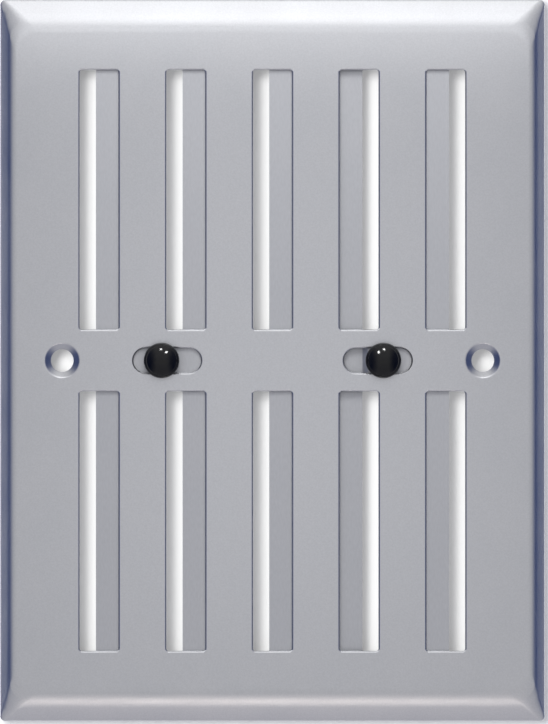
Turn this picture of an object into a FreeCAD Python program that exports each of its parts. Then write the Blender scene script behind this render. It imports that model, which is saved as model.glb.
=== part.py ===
"""Adjustable hit-and-miss ventilator: a pressed aluminium front plate over two sliding shutters.

The front plate is a shallow tray of sheet metal with ten upright air slots in two rows of five. Two shutters
lie behind its face. Each carries a knob that reaches through an oblong slot in the plate, and slides sideways
to open or close its own columns of slots: three columns on the left shutter, two on the right one.

Frame: the wall is the plane Z = 0, +Z points out of the wall into the room, +Y up the plate and +X to the
right as seen from the room. The origin is the middle of the plate's outline on the wall. Millimetres.
"""

import FreeCAD
import Part

import math
import os

# ---- front plate: tray of folded sheet ----
sheet_t = 1.0          # thickness of the front plate's sheet
plate_depth = 7.0      # from the wall to the front of the face
skirt_h = 4.3          # upright edge at the wall, below the bevel
bevel_x = 3.2          # width of the side bevels, seen from the front
bevel_y = 6.5          # width of the top and bottom bevels, seen from the front
side_bend_r = 4.2      # outside radius where the face turns into a side bevel
end_bend_r = 15.0      # outside radius where the face turns into the top or bottom bevel
rim_bend_r = 0.6       # outside radius where the bevel turns into the skirt
rim_corner_r = 1.4     # plan radius of the outline's corners
face_corner_r = 6.0    # plan radius of the face's corners
bend_flats = 3         # flats that stand for the round of each bend
level_step = 0.02      # frames of the tray closer than this are taken as one

# ---- air slots ----
column_count = 5
slot_pitch = 24.0
slot_w = 10.7
slot_l = 71.8
bridge_h = 17.2        # band of face between the two rows of slots
side_margin = 22.15    # from the outer slots to the plate's sides
end_margin = 19.6      # from the slots to the plate's top and bottom
slot_corner = 0.4      # the slots' corners are clipped by this much, about as the punch's small radius is
slot_edge_r = 0.55     # rolled-over front edge left by the punch
edge_flats = 2         # flats that stand for the quarter-round of a rolled-over edge

# ---- fixing holes: formed countersinks ----
fixing_edge = 17.25    # from the plate's sides to the hole centres
fixing_hole_d = 6.3
dimple_d = 9.6         # width of the countersink at the face
dimple_drop = 1.2      # how far the sheet is pressed in at the hole
dimple_lip_r = 1.0     # rounding where the face turns into the countersink

# ---- shutters ----
left_columns = 3       # columns closed by the left shutter; the right one closes the others
shutter_t = 0.8
slide_gap = 0.15       # running clearance behind the face, and between sheets that pass
slot_overlap = 0.3     # how far a shutter covers past each edge of a slot
open_gap = 4.45        # width of each air gap as the shutters stand at rest
flange_bend_r = 0.4    # inside radius of the shutter's folds
flange_clear = 0.45    # between the shutter's flanges and the tray
flange_relief = 1.0    # the flange stops this far short of the strip that laps
joggle_l = 1.5         # length over which the lapping strip steps back
stud_hole_d = 3.2
dimple_clear = 0.8     # between a shutter's notch and the countersink when closed

# ---- retaining tabs, folded in from the skirt ----
tab_w = 9.0
tab_lap = 2.0          # how far a tab reaches past the shutter's flange
tab_clear = 0.2        # between a tab and the flange that slides on it
tab_bend_r = 0.3       # inside radius of the fold
tab_relief = 0.8       # width of the slit beside each tab
tab_relief_h = 2.0     # height of that slit
tab_margin = 0.5       # least flange beyond a tab at either end of the travel

# ---- knobs and their fastenings ----
knob_d = 9.8
knob_wall_h = 3.2          # upright side of the knob below its dome
knob_dome_h = 2.7          # rise of the dome above that side
dome_bands = 5             # bands that stand for the round of the dome
knob_foot_chamfer = 0.4
bush_d = 6.0
bush_side_gap = 0.4        # between the bush and the knob slot's long edges
bush_shut_gap = 0.1        # between the bush and the slot's outer end, shutter closed
bush_open_gap = 0.6        # between the bush and the slot's inner end, shutter fully open
knob_slot_edge_r = 0.55
insert_d = 4.6
insert_l = 4.0
screw_d = 2.9
thread_gap = 0.03          # between the screw and the insert's thread, all round
screw_l = 6.0
screw_head_d = 5.6
screw_head_h = 1.8
screw_head_chamfer = 0.6
screw_recess_d = 3.0
screw_recess_w = 0.7
screw_recess_depth = 1.0
washer_d = 6.8
washer_t = 0.5
washer_margin = 0.85       # flat sheet between the right washer and the joggle

# ---- worked out from the sizes above ----
plate_w = (column_count - 1) * slot_pitch + slot_w + 2 * side_margin
plate_h = 2 * slot_l + bridge_h + 2 * end_margin
bevel_drop = plate_depth - skirt_h
bend_x = math.atan2(bevel_drop, bevel_x)    # angle between the face and a side bevel
bend_y = math.atan2(bevel_drop, bevel_y)    # angle between the face and the top bevel
column_x = [(i - (column_count - 1) / 2) * slot_pitch for i in range(column_count)]
row_y = [-(bridge_h + slot_l) / 2, (bridge_h + slot_l) / 2]
fixing_x = plate_w / 2 - fixing_edge
face_back = plate_depth - sheet_t
dimple_slope = math.atan2(dimple_drop, (dimple_d - fixing_hole_d) / 2)    # fall of the countersink
dimple_lip_back = dimple_lip_r * math.tan(dimple_slope / 2)
dimple_r = dimple_d / 2 + dimple_lip_back   # where the countersink's lip leaves the face

land_w = slot_w + 2 * slot_overlap          # strip of shutter that closes one column
travel = slot_pitch / 2                     # from shutters closed to fully open
shut_to_rest = open_gap + slot_overlap      # how far each shutter stands open at rest
front_z = face_back - slide_gap             # front of the shutters
back_z = front_z - shutter_t
lap_step = shutter_t + slide_gap            # how far back the lapping strip lies
flat_inset_y = bevel_y + end_bend_r * math.tan(bend_y / 2)    # from the outline to the face's flat
shutter_half_h = plate_h / 2 - flat_inset_y - flange_clear
aperture_l = slot_l + 2 * slot_overlap
flange_foot_z = sheet_t + tab_clear
fold_r = flange_bend_r + shutter_t          # outside radius of the shutter's folds

knob_slot_l = travel + bush_d + bush_shut_gap + bush_open_gap
knob_slot_h = bush_d + 2 * bush_side_gap
lap_land_x = column_x[left_columns] + land_w / 2 - shut_to_rest    # edge of the stepped-back land at rest
knob_x = lap_land_x + joggle_l + washer_margin + washer_d / 2
knob_slot_x = knob_x + shut_to_rest - (travel + bush_open_gap - bush_shut_gap) / 2
knob_z = plate_depth + slide_gap            # underside of the knobs
knob_r = knob_d / 2

UP = FreeCAD.Vector(0, 0, 1)


def vec(x, y, z):
    return FreeCAD.Vector(x, y, z)


def rounded_rectangle(width, height, radius, z, centre=(0.0, 0.0)):
    """Closed wire, parallel to the wall, with arcs at its corners."""
    cx, cy = centre
    hw, hh = width / 2, height / 2
    diagonal = radius * (1 - math.sqrt(0.5))
    edges = []
    for sx, sy in ((1, 1), (-1, 1), (-1, -1), (1, -1)):
        along_side = vec(cx + sx * hw, cy + sy * (hh - radius), z)
        along_top = vec(cx + sx * (hw - radius), cy + sy * hh, z)
        middle = vec(cx + sx * (hw - diagonal), cy + sy * (hh - diagonal), z)
        ends = (along_side, along_top) if sx * sy > 0 else (along_top, along_side)
        edges.append(Part.Arc(ends[0], middle, ends[1]).toShape())
    corners = list(edges)
    for corner, following in zip(corners, corners[1:] + corners[:1]):
        start = corner.lastVertex(True).Point
        end = following.firstVertex(True).Point
        if start.distanceToPoint(end) > 1e-6:
            edges.append(Part.LineSegment(start, end).toShape())
    return Part.Wire(Part.__sortEdges__(edges))


def clipped_rectangle(width, height, clip, z, centre=(0.0, 0.0)):
    """Closed wire, parallel to the wall, with its corners clipped at 45 degrees."""
    cx, cy = centre
    hw, hh = width / 2, height / 2
    corners = []
    for sx, sy in ((1, 1), (-1, 1), (-1, -1), (1, -1)):
        ends = [vec(cx + sx * hw, cy + sy * (hh - clip), z), vec(cx + sx * (hw - clip), cy + sy * hh, z)]
        corners += ends if sx * sy > 0 else ends[::-1]
    return Part.makePolygon(corners + corners[:1])


def cylinder(radius, z0, z1, x=0.0, y=0.0):
    return Part.makeCylinder(radius, z1 - z0, vec(x, y, z0), UP)


def edges_in_plane(shape, z):
    """Edges that lie wholly at height z."""
    return [e for e in shape.Edges if abs(e.BoundBox.ZMin - z) < 1e-6 and abs(e.BoundBox.ZMax - z) < 1e-6]


def skin_profile(bevel_w, turn, face_r, inset):
    """Up one side of the tray as (distance in from the outline, height), from the skirt to the face."""
    rim_turn = math.pi / 2 - turn
    rim_centre = rim_bend_r, skirt_h - rim_bend_r * math.tan(rim_turn / 2)
    face_centre = bevel_w + face_r * math.tan(turn / 2), plate_depth - face_r
    points = [(inset, 0.0)]
    for (across, up), radius, first, last in (
        (rim_centre, rim_bend_r - inset, 0.0, rim_turn),
        (face_centre, face_r - inset, rim_turn, math.pi / 2),
    ):
        for i in range(bend_flats + 1):
            angle = first + (last - first) * i / bend_flats
            points.append((across - radius * math.cos(angle), up + radius * math.sin(angle)))
    return points


def distance_in(profile, z):
    """How far in from the outline a skin profile lies at height z."""
    for (start, low), (end, high) in zip(profile, profile[1:]):
        if z <= high:
            return start + (end - start) * (z - low) / (high - low)
    return profile[-1][0]


def tray_block(inset):
    """Solid tray, with its skin the given distance inside the plate's outer skin.

    It is a stack of frames with flats between them, because the sides and the ends are bent to different
    radii and angles, and run into each other round the corners.
    """
    side = skin_profile(bevel_x, bend_x, side_bend_r, inset)
    end = skin_profile(bevel_y, bend_y, end_bend_r, inset)
    levels = []
    for z in sorted(height for _, height in side + end):
        if not levels or z - levels[-1] > level_step:
            levels.append(z)
    levels[-1] = plate_depth - inset
    wires = []
    for z in levels:
        up_bevel = min(max((z - skirt_h) / bevel_drop, 0.0), 1.0)
        corner_r = rim_corner_r + (face_corner_r - rim_corner_r) * up_bevel - inset
        width = plate_w - 2 * distance_in(side, z)
        height = plate_h - 2 * distance_in(end, z)
        wires.append(rounded_rectangle(width, height, corner_r, z))
    return Part.makeLoft(wires, True, True)


def punched_slot(frame, width, height, corner, edge_r, x, y):
    """Cutter for a slot whose front edge is rolled over: a stack of frames up through the sheet."""
    wires = [frame(width, height, corner, face_back - sheet_t, (x, y))]
    for i in range(edge_flats + 1):
        turn = i * math.pi / 2 / edge_flats
        out = edge_r * (1 - math.cos(turn))
        z = plate_depth - edge_r * (1 - math.sin(turn))
        wires.append(frame(width + 2 * out, height + 2 * out, corner + out, z, (x, y)))
    mouth = width + 2 * edge_r, height + 2 * edge_r, corner + edge_r
    wires.append(frame(*mouth, plate_depth + sheet_t, (x, y)))
    return Part.makeLoft(wires, True, True)


def air_slots():
    """Cutters for the ten air slots."""
    return [
        punched_slot(clipped_rectangle, slot_w, slot_l, slot_corner, slot_edge_r, x, y)
        for x in column_x
        for y in row_y
    ]


def knob_slots():
    """Cutters for the two oblong slots that the knobs travel in."""
    return [
        punched_slot(rounded_rectangle, knob_slot_l, knob_slot_h, knob_slot_h / 2, knob_slot_edge_r, x, 0.0)
        for x in (-knob_slot_x, knob_slot_x)
    ]


def formed_countersink(x):
    """Ring of sheet pressed in round a fixing hole, to fill a round hole in the face."""
    hole_r = fixing_hole_d / 2
    half_slope = dimple_slope / 2
    lip_end = vec(
        dimple_d / 2 - dimple_lip_back * math.cos(dimple_slope),
        0,
        plate_depth - dimple_lip_back * math.sin(dimple_slope),
    )
    lip_mid = vec(
        dimple_r - dimple_lip_r * math.sin(half_slope),
        0,
        plate_depth - dimple_lip_r * (1 - math.cos(half_slope)),
    )
    throat = vec(hole_r, 0, plate_depth - dimple_drop)
    throat_back = vec(hole_r, 0, plate_depth - dimple_drop - sheet_t)
    back_r = dimple_r - sheet_t * math.tan(half_slope)
    points = [
        Part.Arc(vec(dimple_r, 0, plate_depth), lip_mid, lip_end).toShape(),
        Part.LineSegment(lip_end, throat).toShape(),
        Part.LineSegment(throat, throat_back).toShape(),
        Part.LineSegment(throat_back, vec(back_r, 0, face_back)).toShape(),
        Part.LineSegment(vec(back_r, 0, face_back), vec(dimple_r, 0, face_back)).toShape(),
        Part.LineSegment(vec(dimple_r, 0, face_back), vec(dimple_r, 0, plate_depth)).toShape(),
    ]
    ring = Part.Face(Part.Wire(points)).revolve(vec(0, 0, 0), UP, 360)
    ring.translate(vec(x, 0, 0))
    return ring


def flange_spans():
    """Where each shutter's flanges run at rest, as (from, to) along X."""
    left = (
        column_x[0] - land_w / 2 + shut_to_rest,
        column_x[left_columns - 1] - land_w / 2 + shut_to_rest - flange_relief,
    )
    right = (
        column_x[left_columns] + land_w / 2 - shut_to_rest + joggle_l + flange_relief / 2,
        column_x[-1] + land_w / 2 - shut_to_rest,
    )
    return left, right


def tab_places():
    """Middles of the tabs along X: always under a flange, wherever the shutters stand."""
    opening = travel - shut_to_rest
    (left_a, left_b), (right_a, right_b) = flange_spans()
    reach = tab_w / 2 + tab_margin
    return [
        left_a + opening + reach,
        left_b - shut_to_rest - reach,
        (right_a + shut_to_rest + right_b - opening) / 2,
    ]


def retaining_tab(x, side):
    """Tab folded in from the skirt at the plate's top (side 1) or bottom (side -1)."""
    outer_r = tab_bend_r + sheet_t
    rim = plate_h / 2
    tip = shutter_half_h - shutter_t - tab_lap
    turn = math.sqrt(0.5)
    outside = vec(0, rim - outer_r * (1 - turn), outer_r * (1 - turn))
    inside = vec(0, rim - outer_r + tab_bend_r * turn, outer_r - tab_bend_r * turn)
    corners = [
        vec(0, rim, tab_relief_h),
        vec(0, rim, outer_r),
        vec(0, rim - outer_r, 0),
        vec(0, tip, 0),
        vec(0, tip, sheet_t),
        vec(0, rim - outer_r, sheet_t),
        vec(0, rim - sheet_t, outer_r),
        vec(0, rim - sheet_t, tab_relief_h),
    ]
    edges = [
        Part.LineSegment(corners[0], corners[1]).toShape(),
        Part.Arc(corners[1], outside, corners[2]).toShape(),
        Part.LineSegment(corners[2], corners[3]).toShape(),
        Part.LineSegment(corners[3], corners[4]).toShape(),
        Part.LineSegment(corners[4], corners[5]).toShape(),
        Part.Arc(corners[5], inside, corners[6]).toShape(),
        Part.LineSegment(corners[6], corners[7]).toShape(),
        Part.LineSegment(corners[7], corners[0]).toShape(),
    ]
    tab = Part.Face(Part.Wire(edges)).extrude(vec(tab_w, 0, 0))
    tab.translate(vec(-tab_w / 2, 0, 0))
    if side < 0:
        tab = tab.mirror(vec(0, 0, 0), vec(0, 1, 0))
    tab.translate(vec(x, 0, 0))
    return tab


def tab_window(x, side):
    """Cutter that frees a tab and its relief slits from the skirt."""
    width = tab_w + 2 * tab_relief
    depth = 3 * sheet_t
    return Part.makeBox(width, depth, tab_relief_h, vec(x - width / 2, side * plate_h / 2 - depth / 2, 0))


def front_plate():
    plate = tray_block(0.0).cut(tray_block(sheet_t))
    sides = (-fixing_x, fixing_x)
    holes = [cylinder(dimple_r, face_back - sheet_t, plate_depth + sheet_t, x) for x in sides]
    plate = plate.cut(air_slots() + knob_slots() + holes)
    places = [(x, side) for x in tab_places() for side in (1, -1)]
    plate = plate.cut([tab_window(x, side) for x, side in places])
    tabs = [retaining_tab(x, side) for x, side in places]
    plate = plate.fuse([formed_countersink(x) for x in sides] + tabs)
    return plate.removeSplitter()


def channel(x0, x1):
    """Length of shutter sheet with both long edges folded back into flanges."""
    top = shutter_half_h
    turn = math.sqrt(0.5)
    centre_y, centre_z = top - fold_r, front_z - fold_r

    def half(side):
        outer_mid = vec(x0, side * (centre_y + fold_r * turn), centre_z + fold_r * turn)
        inner_mid = vec(x0, side * (centre_y + flange_bend_r * turn), centre_z + flange_bend_r * turn)
        p = [
            vec(x0, 0, front_z),
            vec(x0, side * centre_y, front_z),
            vec(x0, side * top, centre_z),
            vec(x0, side * top, flange_foot_z),
            vec(x0, side * (top - shutter_t), flange_foot_z),
            vec(x0, side * (top - shutter_t), centre_z),
            vec(x0, side * centre_y, back_z),
            vec(x0, 0, back_z),
        ]
        return [
            Part.LineSegment(p[0], p[1]).toShape(),
            Part.Arc(p[1], outer_mid, p[2]).toShape(),
            Part.LineSegment(p[2], p[3]).toShape(),
            Part.LineSegment(p[3], p[4]).toShape(),
            Part.LineSegment(p[4], p[5]).toShape(),
            Part.Arc(p[5], inner_mid, p[6]).toShape(),
            Part.LineSegment(p[6], p[7]).toShape(),
            Part.LineSegment(p[7], p[0]).toShape(),
        ]

    halves = [Part.Face(Part.Wire(half(side))).extrude(vec(x1 - x0, 0, 0)) for side in (1, -1)]
    return halves[0].fuse(halves[1]).removeSplitter()


def flat_strip(x0, x1, z0, z1):
    """Flat sheet without flanges, as tall as the flat of the channel."""
    half_h = shutter_half_h - fold_r
    return Part.makeBox(x1 - x0, 2 * half_h, z1 - z0, vec(x0, -half_h, z0))


def lapping_strip(x0, land_edge, x1):
    """Sheet that starts one step back, up to land_edge, and joggles forward to the channel at x1."""
    half_h = shutter_half_h - fold_r
    step_end = land_edge + joggle_l
    low, high = back_z - lap_step, front_z - lap_step
    outline = [(x0, low), (land_edge, low), (step_end, back_z), (x1, back_z),
               (x1, front_z), (step_end, front_z), (land_edge, high), (x0, high)]
    wire = Part.makePolygon([vec(x, -half_h, z) for x, z in outline + outline[:1]])
    strip = Part.Face(wire).extrude(vec(0, 2 * half_h, 0))
    folds = []
    for edge in strip.Edges:
        from_fold = min(abs(edge.BoundBox.XMin - land_edge), abs(edge.BoundBox.XMin - step_end))
        if edge.BoundBox.YLength > half_h and from_fold < 1e-6:
            folds.append(edge)
    return strip.makeFillet(flange_bend_r, folds)


def apertures(columns, shift):
    """Cutters for the air gaps between a shutter's lands; columns are those with a land on both sides."""
    cutters = []
    for x in columns:
        for y in row_y:
            outline = clipped_rectangle(slot_pitch - land_w, aperture_l, slot_corner, 0.0, (x + shift, y))
            cutters.append(Part.Face(outline).extrude(UP * plate_depth))
    return cutters


def shutter_cuts(x_knob, x_fixing, shift):
    """Stud hole, and the notch that clears the countersink when the shutter is closed."""
    notch_r = dimple_r + dimple_clear
    return [
        cylinder(stud_hole_d / 2, 0.0, plate_depth, x_knob),
        cylinder(notch_r, 0.0, plate_depth, x_fixing + shift),
    ]


def left_shutter():
    """Three lands; the first column's air gap is beyond the shutter's left edge."""
    (x0, x1), _ = flange_spans()
    end = column_x[left_columns - 1] + land_w / 2 + shut_to_rest
    sheet = channel(x0, x1).fuse(flat_strip(x1, end, back_z, front_z))
    half_pitch = slot_pitch / 2
    gaps = [x - half_pitch for x in column_x[1:left_columns]]
    cuts = apertures(gaps, shut_to_rest) + shutter_cuts(-knob_x, -fixing_x, shut_to_rest)
    return sheet.cut(cuts).removeSplitter()


def right_shutter():
    """Two lands; the first one is stepped back, so that it can pass behind the left shutter's last land."""
    _, (x0, x1) = flange_spans()
    start = column_x[left_columns] - land_w / 2 - shut_to_rest
    sheet = channel(x0, x1).fuse(lapping_strip(start, start + land_w, x0))
    half_pitch = slot_pitch / 2
    gaps = [x + half_pitch for x in column_x[left_columns:-1]]
    cuts = apertures(gaps, -shut_to_rest) + shutter_cuts(knob_x, fixing_x, -shut_to_rest)
    return sheet.cut(cuts).removeSplitter()


def knob(x):
    """Button with a shallow dome, hollow for its threaded insert."""
    crown_z = knob_z + knob_wall_h + knob_dome_h
    dome_r = (knob_r ** 2 + knob_dome_h ** 2) / (2 * knob_dome_h)
    pocket_top = knob_z + insert_l
    outline = [
        vec(0, 0, pocket_top),
        vec(insert_d / 2, 0, pocket_top),
        vec(insert_d / 2, 0, knob_z),
        vec(knob_r - knob_foot_chamfer, 0, knob_z),
        vec(knob_r, 0, knob_z + knob_foot_chamfer),
    ]
    for band in range(dome_bands, -1, -1):
        turn = math.asin(knob_r / dome_r) * band / dome_bands
        outline.append(vec(dome_r * math.sin(turn), 0, crown_z - dome_r * (1 - math.cos(turn))))
    body = Part.Face(Part.makePolygon(outline + outline[:1])).revolve(vec(0, 0, 0), UP, 360)
    body.translate(vec(x, 0, 0))
    return body


def insert(x):
    """Threaded brass insert, moulded into the knob from below."""
    top_z = knob_z + insert_l
    bore = cylinder(screw_d / 2 + thread_gap, knob_z, top_z, x)
    return cylinder(insert_d / 2, knob_z, top_z, x).cut(bore)


def bush(x):
    """Spacer between shutter and knob, running in the knob slot."""
    bore = cylinder(stud_hole_d / 2, front_z, knob_z, x)
    return cylinder(bush_d / 2, front_z, knob_z, x).cut(bore)


def washer(x):
    foot_z = back_z - washer_t
    bore = cylinder(stud_hole_d / 2, foot_z, back_z, x)
    return cylinder(washer_d / 2, foot_z, back_z, x).cut(bore)


def screw(x):
    """Pan-head screw driven from behind, through washer, shutter and bush into the insert."""
    seat_z = back_z - washer_t
    base_z = seat_z - screw_head_h
    shank = cylinder(screw_d / 2, seat_z, seat_z + screw_l, x)
    head = cylinder(screw_head_d / 2, base_z, seat_z, x)
    head = head.makeChamfer(screw_head_chamfer, edges_in_plane(head, base_z))
    slots = []
    for length, width in ((screw_recess_d, screw_recess_w), (screw_recess_w, screw_recess_d)):
        slots.append(Part.makeBox(length, width, screw_recess_depth, vec(x - length / 2, -width / 2, base_z)))
    return shank.fuse(head).cut(slots).removeSplitter()


def main():
    os.makedirs("parts", exist_ok=True)
    pieces = {
        "front_plate": front_plate(),
        "left_shutter": left_shutter(),
        "right_shutter": right_shutter(),
    }
    for side, x in (("left", -knob_x), ("right", knob_x)):
        pieces[side + "_knob"] = knob(x)
        pieces[side + "_insert"] = insert(x)
        pieces[side + "_bush"] = bush(x)
        pieces[side + "_washer"] = washer(x)
        pieces[side + "_screw"] = screw(x)
    for name, shape in pieces.items():
        shape.exportStep(os.path.join("parts", name + ".step"))
        box = shape.BoundBox
        print(f"{name}: {len(shape.Solids)} solid, valid {shape.isValid()}, volume {shape.Volume:.1f} mm3, "
              f"x {box.XMin:.2f} to {box.XMax:.2f}, y {box.YMin:.2f} to {box.YMax:.2f}, "
              f"z {box.ZMin:.2f} to {box.ZMax:.2f}")


main()
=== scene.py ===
# %% [markdown]
# # A hit-and-miss ventilator in satin aluminium
#
# This ventilator is a shallow tray of pressed aluminium with ten upright air slots. Two shutters slide behind
# it, and each is moved by a small black knob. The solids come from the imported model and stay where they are.
# This file gives them their finishes and rounds their shading. Everything is in metres: the wall is the
# plane z = 0 and the room is towards +z.

import math

import bpy
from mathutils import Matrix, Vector


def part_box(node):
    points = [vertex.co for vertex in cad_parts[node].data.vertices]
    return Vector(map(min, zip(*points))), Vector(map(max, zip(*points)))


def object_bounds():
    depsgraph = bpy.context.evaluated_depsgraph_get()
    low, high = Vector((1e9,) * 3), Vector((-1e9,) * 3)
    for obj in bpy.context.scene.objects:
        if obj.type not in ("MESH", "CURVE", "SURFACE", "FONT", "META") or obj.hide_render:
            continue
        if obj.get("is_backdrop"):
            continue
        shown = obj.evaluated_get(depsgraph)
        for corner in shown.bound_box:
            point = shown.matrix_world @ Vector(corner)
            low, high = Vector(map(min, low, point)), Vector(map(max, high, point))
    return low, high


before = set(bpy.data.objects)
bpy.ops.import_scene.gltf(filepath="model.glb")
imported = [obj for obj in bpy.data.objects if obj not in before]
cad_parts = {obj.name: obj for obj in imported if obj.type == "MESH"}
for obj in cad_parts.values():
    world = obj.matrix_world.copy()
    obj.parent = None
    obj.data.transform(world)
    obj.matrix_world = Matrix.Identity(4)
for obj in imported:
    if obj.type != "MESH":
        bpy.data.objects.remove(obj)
cad_low, cad_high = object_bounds()
size = cad_high - cad_low
scene = bpy.context.scene
mm = 0.001
print("nodes:", sorted(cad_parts))
print("size in mm:", [round(v / mm, 2) for v in size])

# %% [markdown]
# ## The camera
#
# A flat plate is best drawn from straight in front, so that its edges stay parallel. A long lens two
# metres away does that, where a short lens close by would show the walls of the outer slots. A camera that
# has not been turned already looks down -z with +y up, so it only has to be lifted. The picture is a little
# larger than the plate's outline, whose widest part is the top of its skirt.

# %% Camera
picture_w = 548
picture_h = 724
view_w = 151.9 * mm
view_middle = Vector((0.42 * mm, -0.42 * mm, 0))
camera_height = 2.0
skirt_top = 4.3 * mm

camera_data = bpy.data.cameras.new("camera")
camera_data.sensor_fit = "HORIZONTAL"
camera_data.lens = camera_data.sensor_width * (camera_height - skirt_top) / view_w
camera_data.clip_start = 0.01
camera = bpy.data.objects.new("camera", camera_data)
camera.location = view_middle + Vector((0, 0, camera_height))
scene.collection.objects.link(camera)
scene.camera = camera
print("lens in mm:", round(camera_data.lens, 1))
print("height of the view in mm:", round(view_w / mm * picture_h / picture_w, 1))

# %% [markdown]
# ## A few helpers for node materials
#
# Every finish here is made of the same few steps: take a place on the piece, stretch it, feed it to a noise,
# and turn the noise into a colour, a roughness or a height. Writing each step as a small function keeps the
# finishes short enough to read. The place is always the piece's own coordinates in metres, so a noise of
# scale 1000 has features about a millimetre wide.

# %% Node helpers
def add(tree, kind, **settings):
    node = tree.nodes.new(kind)
    for name, value in settings.items():
        setattr(node, name, value)
    return node


def new_material(name):
    material = bpy.data.materials.new(name)
    material.use_nodes = True
    tree = material.node_tree
    shader = tree.nodes["Principled BSDF"]
    return material, tree, shader


def noise(tree, per_metre, detail=2.0, offset=0.0):
    """A noise whose features are 1 / per_metre wide along x, y and z."""
    place = add(tree, "ShaderNodeTexCoord")
    stretch = add(tree, "ShaderNodeMapping")
    stretch.inputs["Location"].default_value = (offset, offset, offset)
    stretch.inputs["Scale"].default_value = per_metre
    grain = add(tree, "ShaderNodeTexNoise")
    grain.inputs["Scale"].default_value = 1.0
    grain.inputs["Detail"].default_value = detail
    tree.links.new(place.outputs["Object"], stretch.inputs["Vector"])
    tree.links.new(stretch.outputs["Vector"], grain.inputs["Vector"])
    return grain.outputs["Fac"]


def remap(tree, value, low, high, start=0.3, end=0.7):
    """The value from start to end, spread from low to high."""
    node = add(tree, "ShaderNodeMapRange")
    for name, number in (("From Min", start), ("From Max", end), ("To Min", low), ("To Max", high)):
        node.inputs[name].default_value = number
    tree.links.new(value, node.inputs["Value"])
    return node.outputs["Result"]


def shade_between(tree, value, dark, light):
    """The colour between dark and light that the value picks."""
    ramp = add(tree, "ShaderNodeValToRGB")
    ramp.color_ramp.elements[0].position = 0.3
    ramp.color_ramp.elements[1].position = 0.7
    ramp.color_ramp.elements[0].color = (*dark, 1)
    ramp.color_ramp.elements[1].color = (*light, 1)
    tree.links.new(value, ramp.inputs["Fac"])
    return ramp.outputs["Color"]


def raise_surface(tree, value, height):
    """Bump of the given height in metres."""
    bump = add(tree, "ShaderNodeBump")
    bump.inputs["Strength"].default_value = 1.0
    bump.inputs["Distance"].default_value = height
    tree.links.new(value, bump.inputs["Height"])
    return bump.outputs["Normal"]


print("helpers ready")

# %% [markdown]
# ## Satin aluminium
#
# The front plate is aluminium sheet, etched and anodised before use. Etching leaves a fine, even grain with
# no direction, about half a millimetre across, and anodising leaves a slightly cloudy sheen over it. Both
# come from noise: a fine one for the grain, which also gives the bump, and a large soft one for the
# cloudiness, which also varies the gloss. The shutters are cut from plain rolled sheet. It is duller, and its
# grain is drawn out into faint long marks by the rolls.

# %% Aluminium finishes
gloss_spread = 0.015


def satin_metal(name, tone, roughness, grain_w, grain_l, spread, height):
    material, tree, shader = new_material(name)
    grain = noise(tree, (1 / grain_w, 1 / grain_l, 1 / grain_w))
    clouds = noise(tree, (90, 70, 90), offset=4.0)
    dark = [channel * (1 - spread) for channel in tone]
    light = [channel * (1 + spread) for channel in tone]
    grained = shade_between(tree, grain, dark, light)
    clouded = shade_between(tree, clouds, (0.975, 0.98, 0.985), (1, 1, 1))
    mix = add(tree, "ShaderNodeMix", data_type="RGBA", blend_type="MULTIPLY")
    mix.inputs["Factor"].default_value = 1.0
    tree.links.new(grained, mix.inputs["A"])
    tree.links.new(clouded, mix.inputs["B"])
    tree.links.new(mix.outputs["Result"], shader.inputs["Base Color"])
    rough = remap(tree, clouds, roughness - gloss_spread, roughness + gloss_spread)
    tree.links.new(rough, shader.inputs["Roughness"])
    tree.links.new(raise_surface(tree, grain, height), shader.inputs["Normal"])
    shader.inputs["Metallic"].default_value = 1.0
    return material


plate_finish = satin_metal(
    "satin_aluminium", (0.62, 0.625, 0.64), 0.32, 0.42 * mm, 0.42 * mm, 0.04, 0.6e-6
)
shutter_finish = satin_metal(
    "mill_aluminium", (0.52, 0.525, 0.54), 0.55, 0.45 * mm, 1.6 * mm, 0.03, 0.4e-6
)
print("finishes:", plate_finish.name, shutter_finish.name)

# %% [markdown]
# ## Black plastic, brass, nylon and plated steel
#
# The knobs are moulded in glossy black plastic. Its colour is nearly nothing, so what shows is the gloss,
# and a very faint orange-peel bump keeps the gloss from looking like glass. Brass, nylon and zinc plate are
# on the hidden pieces, and show only from behind or from the side.

# %% Finishes of the small pieces
def moulded(name, tone, roughness, ior, peel):
    material, tree, shader = new_material(name)
    grain = noise(tree, (900, 900, 900))
    dark = [channel * 0.85 for channel in tone]
    light = [channel * 1.15 for channel in tone]
    tree.links.new(shade_between(tree, grain, dark, light), shader.inputs["Base Color"])
    tree.links.new(remap(tree, grain, roughness * 0.85, roughness * 1.15), shader.inputs["Roughness"])
    tree.links.new(raise_surface(tree, grain, peel), shader.inputs["Normal"])
    shader.inputs["IOR"].default_value = ior
    return material


def turned_metal(name, tone, roughness):
    material, tree, shader = new_material(name)
    grain = noise(tree, (700, 700, 5000), detail=3.0)
    dark = [channel * 0.88 for channel in tone]
    light = [min(channel * 1.08, 1.0) for channel in tone]
    tree.links.new(shade_between(tree, grain, dark, light), shader.inputs["Base Color"])
    tree.links.new(remap(tree, grain, roughness - 0.05, roughness + 0.07), shader.inputs["Roughness"])
    tree.links.new(raise_surface(tree, grain, 1.5e-6), shader.inputs["Normal"])
    shader.inputs["Metallic"].default_value = 1.0
    return material


knob_finish = moulded("gloss_black_plastic", (0.006, 0.006, 0.0065), 0.10, 1.40, 1.2e-6)
bush_finish = moulded("natural_nylon", (0.72, 0.70, 0.62), 0.42, 1.53, 4e-6)
brass_finish = turned_metal("turned_brass", (0.72, 0.53, 0.26), 0.28)
steel_finish = turned_metal("zinc_plated_steel", (0.60, 0.61, 0.63), 0.30)
print("finishes:", knob_finish.name, bush_finish.name, brass_finish.name, steel_finish.name)

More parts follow.
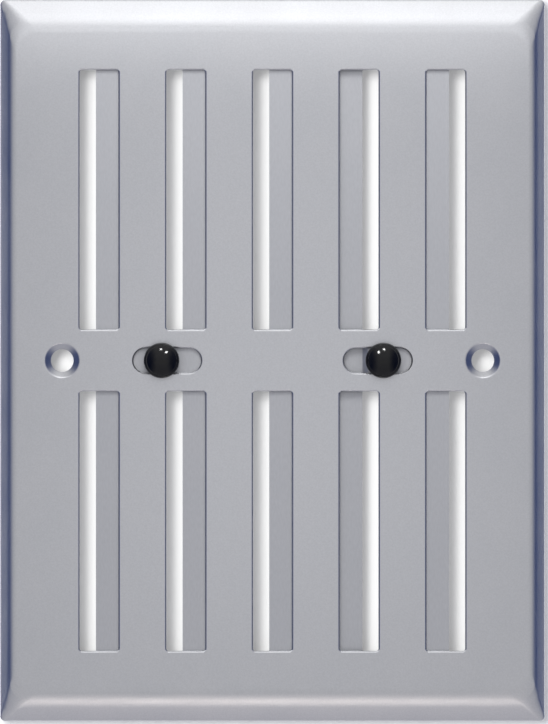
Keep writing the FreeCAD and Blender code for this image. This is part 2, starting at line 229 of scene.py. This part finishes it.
# %% [markdown]
# ## Rounding the shading of the solids
#
# The solids arrive as triangles, and each bend in the sheet as a few narrow flats. Their shape is right but
# their shading is faceted. A smaller angle between flats is shaded smoothly and a larger one stays a sharp
# edge. The large flat faces must not bend towards their neighbours, so the triangles of each flat are joined
# first and the normals are then weighted by area: the flat keeps its own direction and the narrow flats of
# the bend take up all of the turn. These are modifiers, so the solids themselves are untouched.

# %% Smooth shading by angle
smooth_below = math.radians(50)


def angle_smoothing():
    """Geometry nodes that shade faces smoothly, apart from edges that turn by more than the limit."""
    group = bpy.data.node_groups.new("smooth_by_angle", "GeometryNodeTree")
    group.interface.new_socket("Geometry", in_out="INPUT", socket_type="NodeSocketGeometry")
    group.interface.new_socket("Geometry", in_out="OUTPUT", socket_type="NodeSocketGeometry")
    start = add(group, "NodeGroupInput")
    end = add(group, "NodeGroupOutput")
    angle = add(group, "GeometryNodeInputMeshEdgeAngle")
    gentle = add(group, "FunctionNodeCompare", data_type="FLOAT", operation="LESS_THAN")
    gentle.inputs["B"].default_value = smooth_below
    faces = add(group, "GeometryNodeSetShadeSmooth", domain="FACE")
    edges = add(group, "GeometryNodeSetShadeSmooth", domain="EDGE")
    link = group.links.new
    link(angle.outputs["Unsigned Angle"], gentle.inputs["A"])
    link(start.outputs["Geometry"], faces.inputs["Geometry"])
    link(faces.outputs["Geometry"], edges.inputs["Geometry"])
    link(gentle.outputs["Result"], edges.inputs["Shade Smooth"])
    link(edges.outputs["Geometry"], end.inputs["Geometry"])
    return group


smoothing = angle_smoothing()


def shade_round(piece):
    weld = piece.modifiers.new("weld", "WELD")
    weld.merge_threshold = 1e-6
    flats = piece.modifiers.new("flats", "DECIMATE")
    flats.decimate_type = "DISSOLVE"
    flats.angle_limit = math.radians(0.5)
    smooth = piece.modifiers.new("smooth", "NODES")
    smooth.node_group = smoothing
    weights = piece.modifiers.new("weights", "WEIGHTED_NORMAL")
    weights.mode = "FACE_AREA"
    weights.weight = 100
    weights.keep_sharp = True


finish_of = {
    "plate": plate_finish,
    "shutter": shutter_finish,
    "knob": knob_finish,
    "insert": brass_finish,
    "bush": bush_finish,
    "washer": steel_finish,
    "screw": steel_finish,
}
for name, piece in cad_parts.items():
    finish = finish_of[name.split("_")[1]]
    piece.data.materials.clear()
    piece.data.materials.append(finish)
    shade_round(piece)
    print(name, "->", finish.name)

# %% [markdown]
# ## The floor
#
# The ventilator lies on a plain pale floor, whose top is the plane of the wall. It shows through the open
# slots, white where the light reaches it and grey in the shadow of the sheet. Deep in a slot even white paper
# gets little light, so the floor has a small even glow, which only shows where the floor is seen or mirrored.
# It throws no light on the pieces, and the shadows stay.

# %% Floor
floor_w = 6.0
floor_gap = 0.02 * mm     # keeps the floor from flickering through the rim that stands on it
paper_glow = 0.18


def floor_finish():
    material, tree, shader = new_material("pale_floor")
    grain = noise(tree, (9, 9, 9), detail=3.0)
    paper = shade_between(tree, grain, (0.80, 0.80, 0.79), (0.83, 0.83, 0.82))
    tree.links.new(paper, shader.inputs["Base Color"])
    shader.inputs["Roughness"].default_value = 0.9
    shader.inputs["Specular IOR Level"].default_value = 0.2
    rays = add(tree, "ShaderNodeLightPath")
    seen = rays.outputs["Is Camera Ray"]
    for kind in ("Is Glossy Ray", "Is Transmission Ray"):
        either = add(tree, "ShaderNodeMath", operation="ADD")
        tree.links.new(seen, either.inputs[0])
        tree.links.new(rays.outputs[kind], either.inputs[1])
        seen = either.outputs[0]
    glow = add(tree, "ShaderNodeMath", operation="MULTIPLY")
    glow.inputs[1].default_value = paper_glow
    tree.links.new(seen, glow.inputs[0])
    shader.inputs["Emission Color"].default_value = (1, 1, 1, 1)
    tree.links.new(glow.outputs[0], shader.inputs["Emission Strength"])
    return material


floor_mesh = bpy.data.meshes.new("floor")
corner = floor_w / 2
floor_mesh.from_pydata(
    [(-corner, -corner, 0), (corner, -corner, 0), (corner, corner, 0), (-corner, corner, 0)],
    [],
    [(0, 1, 2, 3)],
)
floor = bpy.data.objects.new("floor", floor_mesh)
floor.location.z = cad_low.z - floor_gap
floor.data.materials.append(floor_finish())
scene.collection.objects.link(floor)
floor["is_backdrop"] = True
print("floor at z in mm:", round(floor.location.z / mm, 3))

# %% [markdown]
# ## The room
#
# Satin metal shows what is round it more than it shows its own colour, so the room matters as much as the
# lamps. The room is a soft dome that hardly changes from the plate's bottom (the start of the ramp) to its
# top. Towards both sides it turns slate blue, which is what the side bevels pick up.

# %% Soft room
def soft_room():
    world = bpy.data.worlds.new("room")
    world.use_nodes = True
    tree = world.node_tree
    background = tree.nodes["Background"]
    direction = add(tree, "ShaderNodeTexCoord")
    split = add(tree, "ShaderNodeSeparateXYZ")
    tree.links.new(direction.outputs["Generated"], split.inputs["Vector"])
    along = remap(tree, split.outputs["Y"], 0.0, 1.0, -1.0, 1.0)
    ramp = add(tree, "ShaderNodeValToRGB")
    stops = [
        (0.00, (0.24, 0.24, 0.27)),
        (0.20, (0.26, 0.26, 0.285)),
        (0.42, (0.30, 0.30, 0.31)),
        (0.52, (0.29, 0.292, 0.307)),
        (1.00, (0.35, 0.35, 0.36)),
    ]
    elements = ramp.color_ramp.elements
    while len(elements) < len(stops):
        elements.new(0.5)
    for element, (position, colour) in zip(elements, stops):
        element.position = position
        element.color = (*colour, 1)
    tree.links.new(along, ramp.inputs["Fac"])
    sideways = add(tree, "ShaderNodeMath", operation="ABSOLUTE")
    tree.links.new(split.outputs["X"], sideways.inputs[0])
    blue_share = remap(tree, sideways.outputs[0], 0.0, 1.0, 0.45, 0.85)
    mix = add(tree, "ShaderNodeMix", data_type="RGBA")
    mix.inputs["B"].default_value = (0.008, 0.022, 0.085, 1)
    tree.links.new(blue_share, mix.inputs["Factor"])
    tree.links.new(ramp.outputs["Color"], mix.inputs["A"])
    tree.links.new(mix.outputs["Result"], background.inputs["Color"])
    background.inputs["Strength"].default_value = 2.0
    return world


scene.world = soft_room()
scene.view_settings.view_transform = "Standard"
print("view transform:", scene.view_settings.view_transform)

# %% [markdown]
# ## The lamps
#
# Every bevel and bend mirrors the lamp that stands where it faces, so each lamp has one job. A softbox beyond
# the plate's top edge stands where the top bevel mirrors it. It is narrow, so that the corners turn dark
# where they face sideways. Right above the top edge a small strip brightens the nearest part of the face. A
# thin warm strip beyond the bottom edge draws the pale line along the lower bend, and a softbox overhead
# keeps the middle of the face light. The shutters have a softbox of their own, low enough for the edges of
# the slots to shade them. The last lamp lights the floor alone, from the upper left, so that it is white
# behind the slots without more light on the metal.

# %% Softboxes
def softbox(name, place, aim, width, height, power, only, tint=(1, 1, 1)):
    """Area lamp at a place, facing aim, that lights only the given objects. Metres and watts."""
    lamp = bpy.data.lights.new(name, "AREA")
    lamp.shape = "RECTANGLE"
    lamp.size = width
    lamp.size_y = height
    lamp.energy = power
    lamp.color = tint
    box = bpy.data.objects.new(name, lamp)
    box.location = Vector(place)
    box.rotation_euler = (Vector(aim) - box.location).to_track_quat("-Z", "Y").to_euler()
    box.visible_camera = False
    scene.collection.objects.link(box)
    lit = bpy.data.collections.new(name + "_lights")
    for piece in only:
        lit.objects.link(piece)
    box.light_linking.receiver_collection = lit
    print(name, "at", [round(v, 3) for v in box.location])


shutters = [piece for name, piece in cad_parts.items() if name.endswith("shutter")]
knobs = [piece for name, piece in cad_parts.items() if name.endswith("knob")]
metals = [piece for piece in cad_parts.values() if piece not in knobs]
warm = (1, 0.90, 0.82)
softbox("top_softbox", (0, 0.52, 0.53), (0, 0.1, 0), 0.35, 0.42, 0.62, only=metals)
softbox("top_edge_strip", (0, 0.105, 0.09), (0, 0.105, 0), 0.17, 0.02, 0.009, only=metals)
softbox("bottom_strip", (0, -0.42, 0.51), (0, -0.1, 0), 0.26, 0.03, 0.14, only=metals, tint=warm)
softbox("overhead_softbox", (0, 0.01, 0.26), (0, 0, 0), 0.13, 0.19, 0.014, only=metals)
softbox("raking_softbox", (0, 0.75, 0.65), (0, 0, 0), 0.35, 0.35, 4.0, only=shutters)
softbox("paper_lamp", (-0.5, 0.3, 1.3), (0, 0, 0), 0.95, 0.5, 17.0, only=[floor])

# %% [markdown]
# ## Two glints on each knob
#
# A polished black dome is nearly invisible but for what it mirrors. Each knob mirrors two small lamps. A
# lamp's place follows from where its glint should sit on the dome: the slope there turns the line of sight
# towards the lamp. The right knob's glints mirror those of the left one.

# %% Glint lamps
glint_reach = 0.15
glint_lamp_w = 26 * mm
glint_power = 0.10
dome_rise = 2.7 * mm
glints = [(-0.2 * mm, 3.1 * mm), (1.3 * mm, 2.3 * mm)]    # across and up from the middle of the left knob

for side, piece in ((1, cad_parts["left_knob"]), (-1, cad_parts["right_knob"])):
    low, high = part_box(piece.name)
    top = Vector(((low.x + high.x) / 2, (low.y + high.y) / 2, high.z))
    knob_r = (high.x - low.x) / 2
    dome_r = (knob_r ** 2 + dome_rise ** 2) / (2 * dome_rise)
    for number, (across, up) in enumerate(glints):
        normal = Vector((side * across, up, math.sqrt(dome_r ** 2 - across ** 2 - up ** 2))) / dome_r
        mirrored = 2 * normal.z * normal - Vector((0, 0, 1))
        place = top + mirrored * glint_reach
        name = f"{piece.name}_lamp_{number}"
        softbox(name, place, top, glint_lamp_w, glint_lamp_w, glint_power, only=[piece])

# %% Write the sizes and finish
low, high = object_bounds()
print("visual size in mm:", [round(v / mm, 2) for v in high - low])
